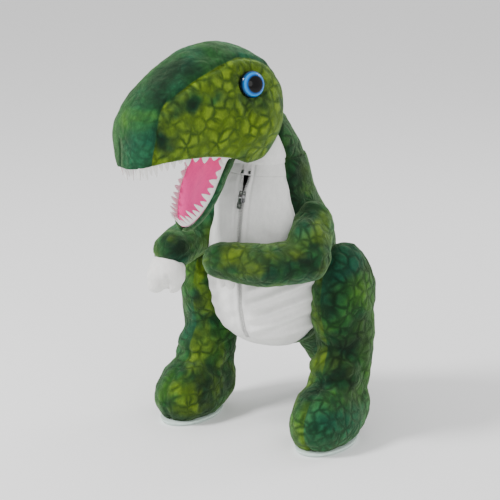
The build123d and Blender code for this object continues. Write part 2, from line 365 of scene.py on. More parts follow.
def make_nap():
    tree, start, end = new_group(
        "nap",
        [("Color", "NodeSocketColor", (1, 1, 1, 1)), ("Depth", "NodeSocketFloat", 1.0),
         ("Contrast", "NodeSocketFloat", 0.35)],
        [("Color", "NodeSocketColor"), ("Height", "NodeSocketFloat"), ("Roughness", "NodeSocketFloat")],
    )
    link = tree.links.new
    place = node(tree, "ShaderNodeTexCoord")
    stretch = node(tree, "ShaderNodeMapping")
    stretch.inputs["Scale"].default_value = (1.0, 1.0, 0.45)
    link(place.outputs["Object"], stretch.inputs["Vector"])
    fine = node(tree, "ShaderNodeTexNoise", scale=900.0, detail=3.0, roughness=0.7)
    link(stretch.outputs["Vector"], fine.inputs["Vector"])
    tufts = node(tree, "ShaderNodeTexNoise", scale=190.0, detail=3.0, roughness=0.6)
    link(stretch.outputs["Vector"], tufts.inputs["Vector"])
    both = maths(tree, "ADD", fine.outputs["Fac"], tufts.outputs["Fac"])
    half = maths(tree, "MULTIPLY", both, 0.5)
    height = maths(tree, "MULTIPLY", half, start.outputs["Depth"])
    link(height, end.inputs["Height"])
    light = remap(tree, half, 0.35, 0.65, 0.45, 1.45)
    shade = mix_colour(tree, start.outputs["Contrast"], start.outputs["Color"], light, "MULTIPLY")
    link(shade, end.inputs["Color"])
    rough = remap(tree, half, 0.0, 1.0, 0.75, 1.0)
    link(rough, end.inputs["Roughness"])
    return tree


scale_print = make_print()
nap = make_nap()


def shader_material(name):
    material = bpy.data.materials.new(name)
    material.use_nodes = True
    tree = material.node_tree
    return material, tree, tree.nodes["Principled BSDF"]


def use_group(tree, group, **values):
    made = tree.nodes.new("ShaderNodeGroup")
    made.node_tree = group
    for key, value in values.items():
        made.inputs[key].default_value = value
    return made


def cloth_finish(tree, shader, cloth, height, bump, sheen, tint):
    """Joins a nap group to a shader: colour, roughness, relief and the sheen of pile."""
    link = tree.links.new
    link(cloth.outputs["Color"], shader.inputs["Base Color"])
    link(cloth.outputs["Roughness"], shader.inputs["Roughness"])
    relief = tree.nodes.new("ShaderNodeBump")
    relief.inputs["Strength"].default_value = 1.0
    relief.inputs["Distance"].default_value = bump
    link(height, relief.inputs["Height"])
    link(relief.outputs["Normal"], shader.inputs["Normal"])
    shader.inputs["Sheen Weight"].default_value = sheen
    shader.inputs["Sheen Roughness"].default_value = 0.5
    shader.inputs["Sheen Tint"].default_value = (*tint, 1)
    shader.inputs["Specular IOR Level"].default_value = 0.15


def fabric(name, colour=None, printed=None, contrast=0.35, bump=0.0012, sheen=0.35, tint=(1, 1, 1)):
    """Cloth with a nap. It is one plain colour, or printed with scales."""
    material, tree, shader = shader_material(name)
    cloth = use_group(tree, nap, Depth=1.0, Contrast=contrast)
    height = cloth.outputs["Height"]
    if printed:
        pattern = use_group(tree, scale_print, **printed)
        tree.links.new(pattern.outputs["Color"], cloth.inputs["Color"])
        relief = maths(tree, "MULTIPLY", pattern.outputs["Height"], 0.5)
        height = maths(tree, "ADD", height, relief)
    else:
        cloth.inputs["Color"].default_value = (*colour, 1)
    cloth_finish(tree, shader, cloth, height, bump, sheen, tint)
    return material


green_sheen = (0.5, 0.8, 0.4)
body_print = dict(Scale=76.0, Lime=0.35, Teal=0.4, Crack=0.95)
arm_print = dict(Scale=78.0, Lime=0.75, Teal=0.7, Crack=0.85)
jaw_print = dict(Scale=80.0, Lime=0.1, Teal=0.5, Crack=0.7)
body_plush = fabric("body_plush", printed=body_print, tint=green_sheen)
arm_plush = fabric("arm_plush", printed=arm_print, tint=green_sheen)
jaw_plush = fabric("jaw_plush", printed=jaw_print, tint=green_sheen)
white_plush = fabric("white_plush", colour=(0.80, 0.80, 0.78), contrast=0.12, bump=0.0006, sheen=0.2)
hand_plush = fabric("hand_plush", colour=(0.78, 0.78, 0.75), contrast=0.16, bump=0.0008, sheen=0.3)
sole_plush = fabric("sole_plush", colour=(0.62, 0.76, 0.70), contrast=0.16, bump=0.0008, sheen=0.3)
pink_knit = fabric("pink_knit", colour=(0.92, 0.085, 0.36), contrast=0.18, bump=0.0005, sheen=0.3,
                   tint=(1, 0.7, 0.8))
tooth_felt = fabric("tooth_felt", colour=(0.74, 0.735, 0.71), contrast=0.15, bump=0.0004, sheen=0.3)
lining_cloth = fabric("lining_cloth", colour=(0.50, 0.50, 0.48), contrast=0.15, bump=0.0004, sheen=0.1)
print(len(bpy.data.materials), "materials so far")

# %% [markdown]
# The head is three panels: a dark strip over brow and nose, and a lime cheek on
# each side. The seam between them is carried on the mesh as a distance, so the
# colour changes exactly where the cloth is pulled in. The legs change print at the
# seam along the foot in the same way.


# %% Two-tone plush
def two_tone(name, low, high, relief_share=0.4):
    """Plush cut from two prints. The mesh's seam attribute is below zero on the first."""
    material, tree, shader = shader_material(name)
    first = use_group(tree, scale_print, **low)
    second = use_group(tree, scale_print, **high)
    side = tree.nodes.new("ShaderNodeAttribute")
    side.attribute_name = "seam"
    edge = remap(tree, side.outputs["Fac"], -0.9, 0.9)
    both = mix_colour(tree, edge, first.outputs["Color"], second.outputs["Color"])
    cloth = use_group(tree, nap, Depth=1.0, Contrast=0.5)
    tree.links.new(both, cloth.inputs["Color"])
    relief = maths(tree, "MULTIPLY", first.outputs["Height"], relief_share)
    height = maths(tree, "ADD", cloth.outputs["Height"], relief)
    cloth_finish(tree, shader, cloth, height, 0.0014, 0.25, green_sheen)
    return material


head_plush = two_tone("head_plush", dict(Scale=70.0, Lime=1.0, Teal=0.1, Crack=0.95, Cover=0.14),
                      dict(Scale=95.0, Lime=0.0, Teal=0.6, Crack=0.5))
leg_plush = two_tone("leg_plush", dict(Scale=74.0, Lime=0.8, Teal=0.1, Crack=0.95),
                     dict(Scale=74.0, Lime=0.15, Teal=0.6, Crack=0.95), 0.5)


SEAM_REACH = 20.0


def within_reach(distance):
    return max(-SEAM_REACH, min(SEAM_REACH, distance))


def mark_seam(piece, distance):
    """Writes a signed distance, in millimetres, on every corner of a mesh."""
    seam = piece.data.attributes.new("seam", "FLOAT", "POINT")
    seam.data.foreach_set("value", [within_reach(distance(v.co)) for v in piece.data.vertices])


# %% [markdown]
# The skull is drawn as ribs. Each rib gives its place along the head, its half
# width, its top, the height where it is widest and the height of its lip. The cloth
# runs from one lip over the top to the other lip, and rolls in at the edge.

# %% Head
# along (-Y), half width, top, widest height, lip height
head_ribs = [
    (-13, 1, 440, 430, 418),
    (-9, 28, 454, 430, 396),
    (2, 43, 470, 426, 378),
    (22, 53, 487, 420, 362),
    (50, 56, 498, 418, 359),
    (75, 56, 501, 419, 368),
    (100, 54, 499, 418, 373),
    (130, 50, 487, 412, 375),
    (160, 46, 468, 404, 374),
    (182, 40, 448, 398, 370),
    (195, 30, 432, 394, 366),
    (202, 16, 414, 390, 365),
    (204, 0.6, 398, 386, 366),
]
# along, height
seam_line = [
    (-13, 440), (10, 468), (54, 485), (85, 480), (113, 470), (140, 456), (160, 444),
    (170, 434), (177, 420), (181, 400), (183, 372),
]
head_start, head_end = head_ribs[0][0], head_ribs[-1][0]
seam_end = seam_line[-1][0]
eye_out, eye_along, eye_height = 49.5, 53, 455


def head_form(u, v):
    """u runs from the back to the nose, v from the left lip over to the right lip."""
    swing = (1 - math.cos(u * math.pi)) / 2
    along = head_start + (head_end - head_start) * (0.35 * u + 0.65 * swing)
    half = table_value(head_ribs, along, 1)
    top = table_value(head_ribs, along, 2)
    middle = table_value(head_ribs, along, 3)
    lip = table_value(head_ribs, along, 4)
    low = -math.asin(min(max((middle - lip) / max(top - middle, 1), 0.05), 0.80))
    angle = low + (math.pi - 2 * low) * v
    x = half * math.copysign(abs(math.cos(angle)) ** 0.86, math.cos(angle))
    rise = math.sin(angle)
    z = middle + (top - middle) * rise if rise > 0 else middle + (middle - lip) * rise / math.sin(-low)
    return along, x, z


def seam_distance(along, z):
    """Millimetres above the seam between cheek and strip; past its end, ahead of it."""
    if along >= seam_end:
        return SEAM_REACH
    height = table_value(seam_line, along, 1)
    ahead = table_value(seam_line, min(along + 2, seam_end), 1)
    slope = (ahead - table_value(seam_line, along - 2, 1)) / 4
    return (z - height) / math.sqrt(1 + slope * slope)


def head_spot(u, v):
    along, x, z = head_form(u, v)
    distance = seam_distance(along, z)
    normal_x = 1 if x > 0 else -1
    pull = groove(distance, 2.6, 2.6)
    socket = math.hypot(along - eye_along, z - eye_height)
    if abs(x) > 20:
        pull -= 6.5 * math.exp(-((socket / 19) ** 4))
        brow = math.exp(-(((along - eye_along) / 30) ** 2)) * math.exp(-(((z - 478) / 9) ** 2))
        pull += 3.0 * brow
        crease = math.exp(-(((along - 72 + (eye_height - z) * 0.25) / 5) ** 2)) * smoothstep(452, 436, z)
        pull -= 2.2 * crease * smoothstep(385, 400, z)
        cheek = math.exp(-(((along - 24) / 32) ** 2)) * math.exp(-(((z - 402) / 24) ** 2))
        pull += 8.0 * cheek
    nostril = math.exp(-(((along - 190) / 8) ** 2)) * math.exp(-(((z - 424) / 6) ** 2))
    pull -= 1.5 * nostril
    spot = head_point(x, -along, z)
    pull += rumple(spot, 24, 1.6) + rumple(spot, 60, 2.2, 5)
    sideways = normal_x * pull * 0.9 * smoothstep(0, 30, abs(x))
    return head_point(x + sideways, -along, z + pull * smoothstep(424, 500, z))


def make_head():
    bm = grid_of(120, 110, head_spot)
    seam = bm.verts.layers.float.new("seam")
    bm.verts.ensure_lookup_table()
    for vert in bm.verts:
        offset = vert.co - Vector((neck_axis.x, neck_axis.y, 0))
        along = -offset.dot(head_back) / MM
        vert[seam] = within_reach(seam_distance(along, vert.co.z / MM))
    bmesh.ops.recalc_face_normals(bm, faces=bm.faces)
    outward = sum((f.normal.z for f in bm.faces if f.calc_center_median().z > 0.47), 0.0)
    if outward < 0:
        bmesh.ops.reverse_faces(bm, faces=bm.faces)
    bmesh.ops.remove_doubles(bm, verts=bm.verts, dist=0.3 * MM)
    nodes = ("head_gusset", "left_cheek", "right_cheek", "head_stuffing")
    piece = finish_piece("head_skin", bm, None)
    thicken(piece, 3.0, -1)
    dress(piece, "head", nodes)
    piece.data.materials.append(head_plush)
    return piece


head_skin = make_head()
print("head_skin", len(head_skin.data.polygons), "faces")

# %% [markdown]
# Inside the mouth, a pink knit arches up as the palate. The jaw is a spoon of green
# plush with a pink lining that dips in the middle.


# %% Mouth and jaw
def mouth_half(along):
    """Half the width between the upper lips."""
    return 0.80 * table_value(head_ribs, along, 1)


def palate_spot(u, v):
    along = 44 + 156 * v
    half = mouth_half(along) * 0.93
    side = 2 * u - 1
    arch = 20 * (1 - side * side) * smoothstep(200, 178, along) * smoothstep(40, 60, along)
    lip = table_value(head_ribs, along, 4)
    return head_point(side * half, -along, max(lip, 371) + 4 + arch)


bm = grid_of(24, 40, palate_spot)
palate = finish_piece("palate", bm, "head", ("palate_lining",))
palate.data.materials.append(pink_knit)
thicken(palate, 1.2, 1)

jaw_front = 108
jaw_width = 36


def jaw_plan(share):
    """Half width of the jaw, from its back at 0 to its tip at 1."""
    if share < 0.45:
        return jaw_width + 2 * smoothstep(0.45, 0.0, share)
    t = (share - 0.45) / 0.55
    return jaw_width * math.sqrt(max(1 - t**2.3, 0.0))


def jaw_skin_spot(u, v):
    share = 1 - (1 - v) ** 1.35
    along = -12 + (jaw_front + 12) * share
    half = max(jaw_plan(share), 0.6)
    angle = math.pi * u
    depth = (22.5 - 8 * share) * math.sqrt(max(1 - share**6, 0.0)) + 1.2
    spot = jaw_point(half * math.cos(angle), jaw_y - along, -depth * math.sin(angle) + 1.0)
    ripple = rumple(spot, 22, 1.3, 3)
    sideways = head_right * (ripple * MM * math.cos(angle))
    return spot + sideways + Vector((0, 0, -ripple * MM * math.sin(angle)))


bm = grid_of(44, 56, jaw_skin_spot)
jaw_skin = finish_piece("jaw_skin_soft", bm, "jaw", ("jaw_skin", "jaw_stuffing"))
jaw_skin.data.materials.append(jaw_plush)
thicken(jaw_skin, 3.4, 0)


def jaw_lining_spot(u, v):
    share = 1 - (1 - v) ** 1.35
    along = -12 + (jaw_front + 9.5) * share
    half = max(jaw_plan(share) - 1.6, 0.5)
    side = 2 * u - 1
    dip = 7.5 * (1 - side * side) * smoothstep(1.0, 0.75, share)
    tongue = 3.0 * math.exp(-((side / 0.35) ** 2)) * smoothstep(0.9, 0.6, share)
    return jaw_point(side * half, jaw_y - along, 1.2 - dip + tongue)


bm = grid_of(32, 44, jaw_lining_spot)
jaw_lining = finish_piece("jaw_lining_soft", bm, "jaw", ("jaw_lining",))
jaw_lining.data.materials.append(pink_knit)
thicken(jaw_lining, 1.2, -1)

# %% [markdown]
# The teeth are cut from felt: a narrow band that is caught in the lip seam, with
# spikes of uneven length. Each spike is a small tapered blade, a little curved.


# %% Teeth
def blade(bm, base, ahead, out, length, width, lean):
    """One felt spike. base is its root, ahead runs along the lip, out points to its tip."""
    thick = 1.1 * MM
    face = ahead.cross(out).normalized()
    rows = 5
    rings = []
    for i in range(rows):
        t = i / (rows - 1)
        half = width * 0.5 * (1 - t) ** 0.65 + 0.3 * MM
        centre = base + out * (length * t) + face * (lean * t * t)
        ring = []
        for a, b in ((-1, -1), (1, -1), (1, 1), (-1, 1)):
            ring.append(bm.verts.new(centre + ahead * (a * half) + face * (b * thick * (1 - 0.5 * t))))
        rings.append(ring)
    for low, high in zip(rings, rings[1:]):
        for k in range(4):
            bm.faces.new((low[k], low[(k + 1) % 4], high[(k + 1) % 4], high[k]))
    bm.faces.new(rings[0][::-1])
    bm.faces.new(rings[-1])


def tooth_row(name, lip_at, tip_way, count, lengths, body, node_name, inward):
    bm = bmesh.new()
    for k in range(count):
        t = (k + 0.5) / count
        here = lip_at(t)
        ahead = (lip_at(min(t + 0.01, 1)) - lip_at(max(t - 0.01, 0))).normalized()
        span = (lip_at((k + 1) / count) - lip_at(k / count)).length
        swell = 0.35 + 0.65 * math.sin(math.pi * min(max(t, 0.08), 0.92))
        length = lengths[k % len(lengths)] * MM * swell
        out = (tip_way + (inward(t) * 0.28)).normalized()
        blade(bm, here, ahead, out, length, span * 0.86, (-1) ** k * 0.6 * MM)
    steps = 90
    strip = []
    for k in range(steps + 1):
        here = lip_at(k / steps)
        across = inward(k / steps).normalized()
        low, high = here - tip_way * 3.0 * MM, here + tip_way * 2.6 * MM
        corner = []
        for spot, side in ((low, -1), (low, 1), (high, 1), (high, -1)):
            corner.append(bm.verts.new(spot + across * (side * 0.9 * MM)))
        strip.append(corner)
    for low, high in zip(strip, strip[1:]):
        for k in range(4):
            bm.faces.new((low[k], low[(k + 1) % 4], high[(k + 1) % 4], high[k]))
    bm.faces.new(strip[0][::-1])
    bm.faces.new(strip[-1])
    bmesh.ops.recalc_face_normals(bm, faces=bm.faces)
    piece = finish_piece(name, bm, body, (node_name,), smooth=False)
    bevel = piece.modifiers.new("Soft edge", "BEVEL")
    bevel.width = 0.35 * MM
    bevel.segments = 2
    apply_modifiers(piece)
    piece.data.materials.append(tooth_felt)


def upper_lip(t):
    """Round the upper lip, from the left mouth corner past the nose to the right."""
    turn = (t * 2 - 1) * 1.0
    share = 1 - abs(turn) ** 1.9
    along = 78 + 120 * share
    half = mouth_half(min(along, 199)) * 0.93
    x = math.copysign(half, -turn)
    near = smoothstep(0.0, 0.16, abs(turn))
    return head_point(x * near, -(along - 1.5), table_value(head_ribs, along, 4) + 1.0)


def lower_lip(t):
    """Round the jaw's rim, from the left corner past the tip to the right."""
    turn = t * 2 - 1
    angle = turn * math.pi / 2
    share = math.cos(angle) ** 0.75
    along = 4 + (jaw_front - 8) * share
    x = -math.sin(angle) * 0.93 * jaw_width
    x = math.copysign(min(abs(x) * 1.12, jaw_plan(min(along / jaw_front, 0.995)) * 0.95), x)
    return jaw_point(x, jaw_y - along, 1.5)


def to_middle_head(t):
    here = upper_lip(t)
    return (head_point(0, -120, here.z / MM) - here).normalized()


def to_middle_jaw(t):
    here = lower_lip(t)
    return (jaw_point(0, jaw_y - 45, 2) - here).normalized()


down = Vector((0, 0, -1))
jaw_up = (jaw_point(0, -100, 10) - jaw_point(0, -100, 0)).normalized()
tooth_row("upper_teeth_felt", upper_lip, down, 31, (18, 14, 20, 15, 19, 13, 17),
          "head", "upper_teeth", to_middle_head)
tooth_row("lower_teeth_felt", lower_lip, jaw_up, 27, (18, 14, 20, 15, 19, 13),
          "jaw", "lower_teeth", to_middle_jaw)

# %% [markdown]
# A safety eye is a moulded dome with a metallic ring painted behind it. One dome
# carries the painted rings, by distance from the eye's own axis, under a clear coat.


# %% Eyes
def eye_paint(name, centre, look):
    material, tree, shader = shader_material(name)
    link = tree.links.new
    place = tree.nodes.new("ShaderNodeTexCoord")
    shift = node(tree, "ShaderNodeVectorMath", operation="SUBTRACT")
    shift.inputs[1].default_value = centre
    link(place.outputs["Object"], shift.inputs[0])
    drop = node(tree, "ShaderNodeVectorMath", operation="CROSS_PRODUCT")
    drop.inputs[1].default_value = look
    link(shift.outputs["Vector"], drop.inputs[0])
    reach = node(tree, "ShaderNodeVectorMath", operation="LENGTH")
    link(drop.outputs["Vector"], reach.inputs[0])
    share = maths(tree, "DIVIDE", reach.outputs["Value"], 16.4 * MM)
    black = (0.001, 0.001, 0.001)
    rings = ramp(tree, [
        (0.0, black), (0.56, black), (0.61, (0.0, 0.03, 0.10)), (0.69, (0.001, 0.13, 0.55)),
        (0.80, (0.004, 0.30, 0.80)), (0.90, (0.001, 0.05, 0.17)), (0.97, (0.001, 0.004, 0.010)),
    ])
    link(share, rings.inputs["Fac"])
    flakes = node(tree, "ShaderNodeTexNoise", scale=1500.0, detail=2.0)
    link(place.outputs["Object"], flakes.inputs["Vector"])
    glint = mix_colour(tree, 0.35, rings.outputs["Color"], flakes.outputs["Fac"], "MULTIPLY")
    link(glint, shader.inputs["Base Color"])
    shader.inputs["Roughness"].default_value = 0.18
    shader.inputs["Coat Weight"].default_value = 0.2
    shader.inputs["Coat Roughness"].default_value = 0.03
    shader.inputs["Specular IOR Level"].default_value = 0.1
    return material


def make_eye(side):
    name = "left" if side > 0 else "right"
    lens_low, lens_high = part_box(f"{name}_eye_lens")
    lens = (lens_low + lens_high) / 2
    look = (head_right * (side * 0.98) + head_back * -0.06 + Vector((0, 0, 0.16))).normalized()
    centre = head_point(side * eye_out, -eye_along, eye_height) + look * (3.2 * MM)
    bm = bmesh.new()
    bmesh.ops.create_uvsphere(bm, u_segments=64, v_segments=32, radius=1)
    back = [v for v in bm.verts if v.co.z < -0.01]
    bmesh.ops.delete(bm, geom=back, context="VERTS")
    turn = look.to_track_quat("Z", "Y").to_matrix().to_4x4()
    size = Matrix.Diagonal((16 * MM, 16 * MM, 9.5 * MM, 1))
    bmesh.ops.transform(bm, matrix=Matrix.Translation(centre) @ turn @ size, verts=bm.verts)
    rim = [e for e in bm.edges if e.is_boundary]
    grown = bmesh.ops.extrude_edge_only(bm, edges=rim)
    ring = [g for g in grown["geom"] if isinstance(g, bmesh.types.BMVert)]
    bmesh.ops.translate(bm, vec=look * (-4 * MM), verts=ring)
    bmesh.ops.contextual_create(bm, geom=ring)
    bmesh.ops.recalc_face_normals(bm, faces=bm.faces)
    nodes = (f"{name}_eye_lens", f"{name}_eye_iris", f"{name}_eye_pupil", f"{name}_eye_washer")
    piece = finish_piece(f"{name}_eye", bm, "head", nodes)
    piece.data.materials.append(eye_paint(f"{name}_eye_paint", centre, look))
    print(piece.name, "is", round((lens - centre).length / MM, 1), "mm from its CAD lens")


for side in (1, -1):
    make_eye(side)

# %% [markdown]
# The trunk is a pear. The white belly is sewn into its front along a side seam, and
# it is slack: folds sweep across it above the place where it turns under.

# %% Trunk
# height, half width, front, back
trunk_ribs = [
    (104, 12, 4, 12), (107, 27, -18, 30), (113, 42, -39, 47), (123, 54, -56, 61), (138, 65, -69, 73),
    (160, 72, -77, 80), (190, 76, -83, 83), (222, 80, -86, 81), (251, 79, -85, 74), (280, 71, -82, 61),
    (311, 62, -76, 42), (336, 55, -68, 32), (352, 51, -63, 25), (362, 47, -60, 20),
]
zip_bottom, zip_top = 128, 337
slider_low, slider_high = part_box("zip_slider_body")
slider_height = (slider_low[2] + slider_high[2]) / 2 / MM


# height, degrees from straight ahead
side_seam_line = [(100, 62), (125, 72), (160, 76), (225, 72), (270, 62), (335, 56), (362, 54)]


def side_seam(z):
    """The belly's side seam, as an angle from straight ahead."""
    return math.radians(table_value(side_seam_line, z, 1))


def drape(x, z):
    """Folds of the slack lower belly, in millimetres."""
    low = smoothstep(120, 150, z) * smoothstep(262, 215, z)
    sweep = z * 0.84 - x * 0.40
    fold = math.sin(sweep * 0.40 + 0.6) + 0.6 * math.sin(sweep * 0.21 + 1.3)
    bag = 4.5 * smoothstep(240, 185, z) * smoothstep(112, 145, z)
    return low * (0.7 + 2.3 * smoothstep(-10, 30, x)) * fold + bag


def trunk_form(angle, z, white=True):
    half = table_value(trunk_ribs, z, 1)
    front = table_value(trunk_ribs, z, 2)
    back = table_value(trunk_ribs, z, 3)
    middle, depth = (front + back) / 2, (back - front) / 2
    out = Vector((math.sin(angle), -math.cos(angle), 0))
    grow = 0.0
    if white:
        grow += drape(half * math.sin(angle), z) * smoothstep(0.02, 0.22, abs(angle))
        grow -= 1.5 * math.exp(-(((abs(half * math.sin(angle)) - 9) / 1.4) ** 2))
    grow += groove((abs(angle) - side_seam(z)) * half, 3.2, 3.0)
    spot = trunk_point(half * math.sin(angle), middle - depth * math.cos(angle), z)
    grow += rumple(spot, 55, 2.4, 9) + rumple(spot, 20, 0.7, 2)
    return spot + out * (grow * MM)


def back_spot(u, v):
    z = 104 + 254 * v
    seam = side_seam(z)
    return trunk_form(seam + (2 * math.pi - 2 * seam) * u, z, False)


def trunk_sheet(name, bm, body, nodes, finish, thick=2.6):
    bmesh.ops.recalc_face_normals(bm, faces=bm.faces)
    middle = trunk_point(0, 0, 225)
    inward = sum(1 if f.normal.dot(f.calc_center_median() - middle) < 0 else -1 for f in bm.faces)
    if inward > 0:
        bmesh.ops.reverse_faces(bm, faces=bm.faces)
    piece = finish_piece(name, bm, None)
    thicken(piece, thick, -1)
    piece.data.materials.append(finish)
    dress(piece, body, nodes)
    return piece


trunk_back = trunk_sheet("trunk_back", grid_of(120, 96, back_spot), "torso",
                         ("torso_skin", "torso_stuffing"), body_plush, 3.0)


def gap_at(z):
    """Half the gap along the zip: shut below the slider, open in a V above it."""
    return 2.4 + 3.6 * smoothstep(slider_height, zip_top, z)


def panel_spot(side):
    def spot(u, v):
        z = zip_bottom + (zip_top - zip_bottom) * v
        half = table_value(trunk_ribs, z, 1)
        start = math.asin(gap_at(z) / half)
        end = side_seam(z) + 0.02
        return trunk_form(side * (start + (end - start) * u), z)
    return spot


for name, side in (("left", 1), ("right", -1)):
    bm = grid_of(44, 130, panel_spot(side))
    nodes = (f"{name}_belly_panel", f"{name}_side_gusset")
    panel = trunk_sheet(f"{name}_belly_cloth", bm, None, (), white_plush, 1.8)
    dress(panel, None, nodes)
    start = trunk_point(side * 60, -60, 237)
    end = trunk_point(side * 24, -60, 237)
    tuple(start)
    tuple(end)
    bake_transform(panel)


def lower_spot(u, v):
    z = 105 + (zip_bottom + 0.5 - 105) * v
    seam = side_seam(z) + 0.02
    return trunk_form(-seam + 2 * seam * u, z)


def chest_spot(u, v):
    z = zip_top - 0.5 + (358 - zip_top) * v
    seam = side_seam(z) + 0.02
    return trunk_form(-seam + 2 * seam * u, z)


for name, rows, spot, node_name in (("lower_belly", 20, lower_spot, "belly_lower_panel"),
                                    ("chest_cloth", 16, chest_spot, "chest_panel")):
    trunk_sheet(name, grid_of(70, rows, spot), "torso", (node_name,), white_plush, 1.8)

# %% [markdown]
# The neck is one tube of plush with a white throat let into its front. It bends
# between the trunk and the head, so it is blended at its foot and hidden at its top.

# %% Neck
# height, half width, middle across, middle along, half depth
neck_ribs = [
    (344, 42, 0, -22, 38), (352, 48, 0, -20, 43), (360, 48, 0, -22, 43), (372, 46, -1, -25, 41),
    (385, 43, -3, -29, 38), (398, 39, -5, -33, 35), (410, 33, -5, -36, 30), (424, 15, -5, -38, 13),
]
neck_foot, neck_seam = 344, math.radians(62)


def neck_form(angle, z):
    half = table_value(neck_ribs, z, 1)
    x0 = table_value(neck_ribs, z, 2)
    y0 = table_value(neck_ribs, z, 3)
    depth = table_value(neck_ribs, z, 4)
    grow = groove((abs(angle) - neck_seam) * half, 3.0, 2.0)
    grow += groove(z - 357, 3.0, 1.6 if abs(angle) < 1.1 else 0.4)
    spot = trunk_point(x0 + half * math.sin(angle), y0 - depth * math.cos(angle), z)
    grow += rumple(spot, 30, 1.6, 4)
    return spot + Vector((math.sin(angle), -math.cos(angle), 0)) * (grow * MM)


def neck_back_spot(u, v):
    return neck_form(neck_seam + (2 * math.pi - 2 * neck_seam) * u, neck_foot + 80 * v)


def throat_spot(u, v):
    seam = math.radians(63)
    return neck_form(-seam + 2 * seam * u, neck_foot + 62 * v)


neck_skin = trunk_sheet("neck_plush", grid_of(80, 50, neck_back_spot), None,
                        ("neck_skin", "neck_stuffing"), body_plush, 2.6)
throat = trunk_sheet("throat_cloth", grid_of(50, 40, throat_spot), None,
                     ("throat_panel",), white_plush, 1.8)
for piece in (neck_skin, throat):
    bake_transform(piece)

# %% [markdown]
# The zip is two woven tapes, each with a coil along its edge. The coil is a row of
# small rounded blocks, and the two rows stand half a pitch apart.


# %% Zip
def zip_path(side, z, out):
    half = table_value(trunk_ribs, z, 1)
    return trunk_form(side * math.asin(out / half), z)


def tape_spot(side):
    def spot(u, v):
        z = zip_bottom + (zip_top - zip_bottom) * v
        out = gap_at(z) - 1.2 + 6.5 * u
        return zip_path(side, z, max(out, 0.5)) + Vector((0, 1.2 * MM, 0))
    return spot


def make_coil(name, side):
    bm = bmesh.new()
    pitch = 1.9
    count = int((zip_top - zip_bottom) / pitch)
    for k in range(count):
        z = zip_bottom + (k + 0.5 + (0.25 if side > 0 else -0.25)) * pitch
        here = zip_path(side, z, max(gap_at(z) - 0.75, 0.6)) + Vector((0, -0.5 * MM, 0))
        made = bmesh.ops.create_cube(bm, size=1)
        size = Matrix.Diagonal((3.0 * MM, 1.7 * MM, 1.05 * MM, 1))
        bmesh.ops.transform(bm, matrix=Matrix.Translation(here) @ size, verts=made["verts"])
    bmesh.ops.bevel(bm, geom=list(bm.edges), offset=0.3 * MM, segments=1, affect="EDGES",
                    profile=0.5, material=-1)
    piece = finish_piece(f"{name}_coil_teeth", bm, f"{name}_flap", (f"{name}_zip_coil",),
                         smooth=False)
    piece.data.materials.append(coil_nylon)


def speckled(name, colour, roughness, metallic=0.0, grain=600.0, spread=0.25):
    """A moulded or plated finish whose shine varies finely."""
    material, tree, shader = shader_material(name)
    link = tree.links.new
    place = tree.nodes.new("ShaderNodeTexCoord")
    fine = node(tree, "ShaderNodeTexNoise", scale=grain, detail=4.0)
    link(place.outputs["Object"], fine.inputs["Vector"])
    shade = ramp(tree, [(0.3, tuple(c * (1 - spread) for c in colour)), (0.7, colour)])
    link(fine.outputs["Fac"], shade.inputs["Fac"])
    link(shade.outputs["Color"], shader.inputs["Base Color"])
    vary = remap(tree, fine.outputs["Fac"], 0.0, 1.0, roughness * 0.75, min(roughness * 1.3, 1.0))
    link(vary, shader.inputs["Roughness"])
    shader.inputs["Metallic"].default_value = metallic
    return material


coil_nylon = speckled("coil_nylon", (0.72, 0.72, 0.70), 0.4)
slider_metal = speckled("slider_metal", (0.66, 0.66, 0.67), 0.28, 1.0, 900.0, 0.35)
tape_cloth = fabric("tape_cloth", colour=(0.74, 0.74, 0.72), contrast=0.25, bump=0.0003, sheen=0.1)

for name, side in (("left", 1), ("right", -1)):
    trunk_sheet(f"{name}_tape_cloth", grid_of(6, 110, tape_spot(side)), f"{name}_flap",
                (f"{name}_zip_tape",), tape_cloth, 0.7)
    make_coil(name, side)
zip_metal = ("zip_slider_body", "zip_pull_tab", "zip_bottom_stop", "left_top_stop", "right_top_stop")
for label, finish in (*[(label, slider_metal) for label in zip_metal], ("pouch_lining", lining_cloth)):
    part = frame["nodes"][label]
    part.data.materials.clear()
    part.data.materials.append(finish)

# %% [markdown]
# The arms are plump and bent at the elbow. They are joined forms under one skin, with
# a crease inside the elbow and a seam along the outside.


# %% Arms
def make_arm(name, bm, elbow, seam_way, seam_point):
    """The seam lies in the plane through seam_point that seam_way stands on."""
    seam_normal = seam_way.normalized()

    def move(co):
        pull = rumple(co, 26, 1.4, 7) + rumple(co, 11, 0.5, 3)
        pull += groove((co - seam_point).dot(seam_normal) / MM, 2.2, 1.8)
        pull -= 2.2 * math.exp(-(((co - elbow).length / (13 * MM)) ** 2))
        return pull

    nodes = (f"{name}_arm_skin", f"{name}_arm_stuffing")
    piece = stuffed(f"{name}_arm_plush", bm, f"{name}_arm", nodes, 3.0, 10, move)
    piece.data.materials.append(arm_plush)


left_root = trunk_point(72, -28, 279)
left_elbow = trunk_point(86, -63, 241)
left_middle = trunk_point(52, -103, 238)
left_end = trunk_point(-6, -115, 239)
bm = bmesh.new()
add_ball(bm, left_root, (24, 25, 27))
add_taper(bm, left_root, left_elbow, 27, 27)
add_ball(bm, trunk_point(80, -53, 255), (27, 30, 38))
add_taper(bm, left_elbow, left_middle, 27, 27)
add_taper(bm, left_middle, left_end, 27, 23)
crease = trunk_point(64, -68, 262)
make_arm("left", bm, crease, Vector((0.1, -0.2, 1)), left_middle + Vector((0, 0, 0.006)))

